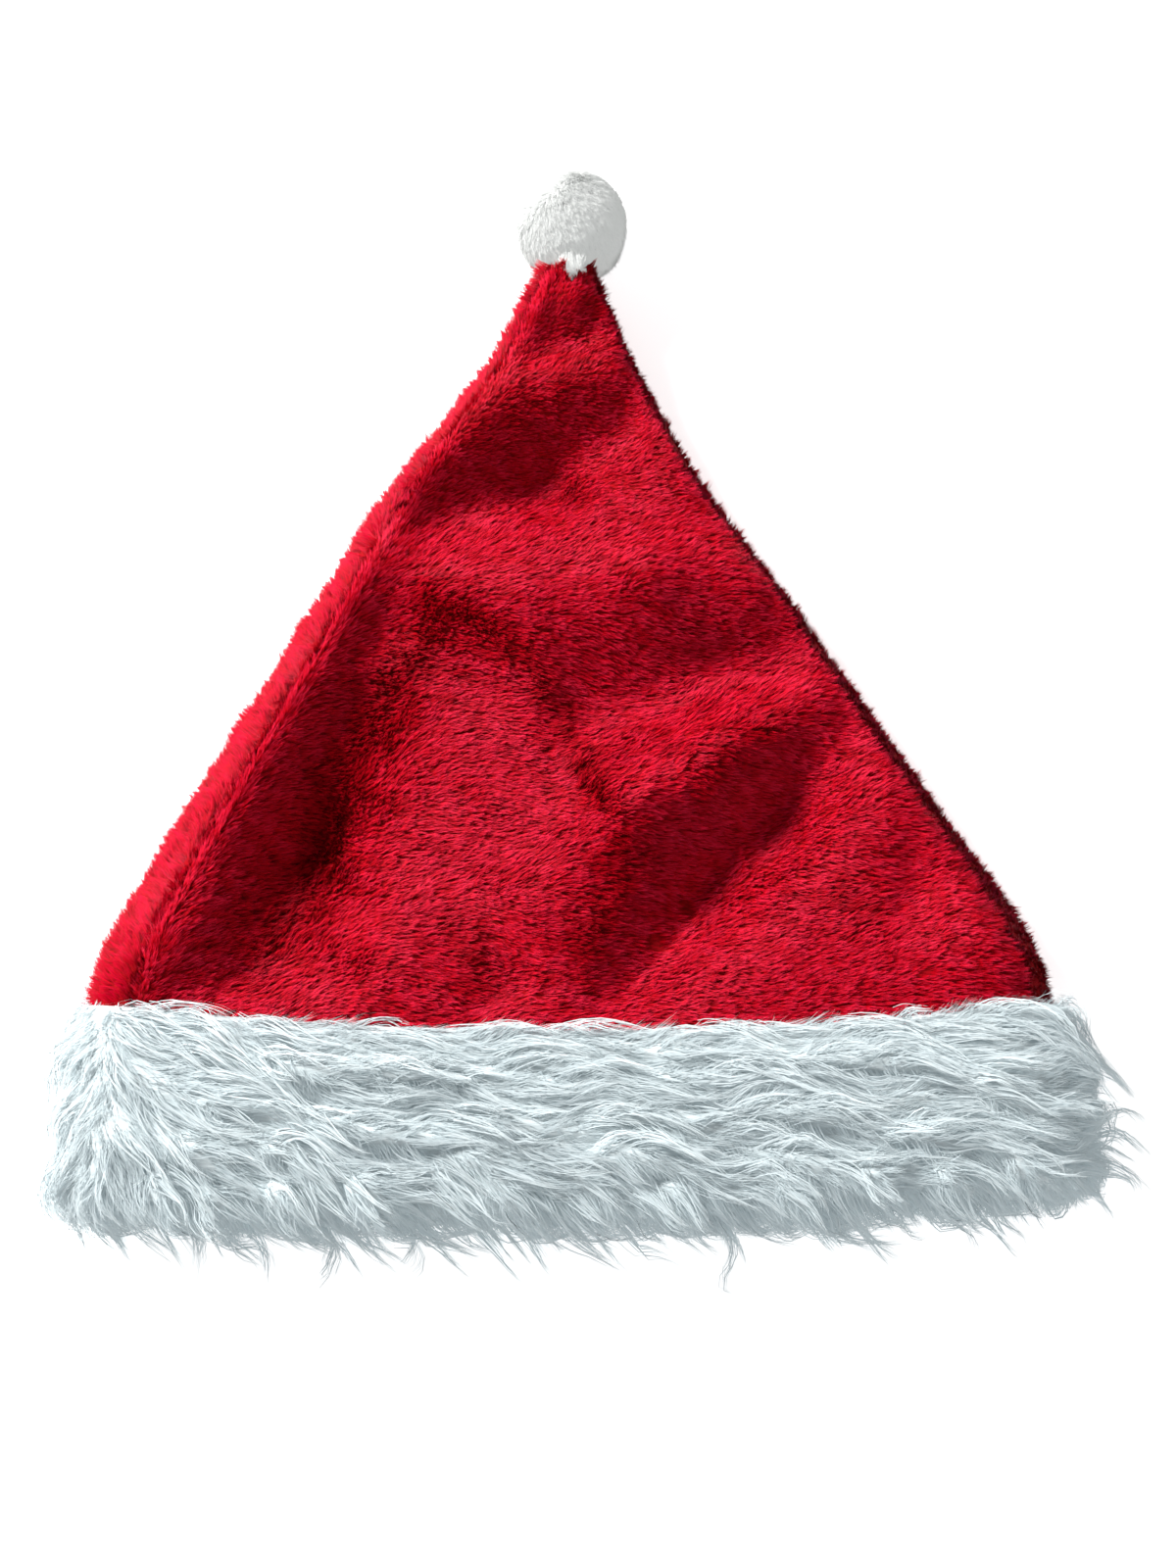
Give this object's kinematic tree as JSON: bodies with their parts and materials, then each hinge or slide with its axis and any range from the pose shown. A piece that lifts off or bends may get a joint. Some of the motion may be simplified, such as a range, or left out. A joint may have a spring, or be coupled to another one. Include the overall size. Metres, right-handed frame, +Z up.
{
  "type": "santa hat",
  "caption": "Soft red plush cone hat with a deep white fur brim and a fur pompom at its tip, lying flattened on its back with the head opening still hollow.",
  "frame": {"origin": "on the flat underside of the lower crown panel, in the middle of the hat as it lies", "axes": "+Z up from the floor that the hat lies on, +Y from the head opening to the pompom, +X to the right in the picture"},
  "size_m": [0.3129, 0.3429, 0.0506],
  "materials": {
    "red_plush": "short glossy pile brushed to the right",
    "white_long_fur": "long wavy locks",
    "white_pompom_fur": "short dense pile"
  },
  "bodies": {
    "root": {"crown_front": "red_plush", "crown_back": "red_plush", "brim": "white_long_fur", "pompom": "white_pompom_fur"}
  },
  "joints": []
}
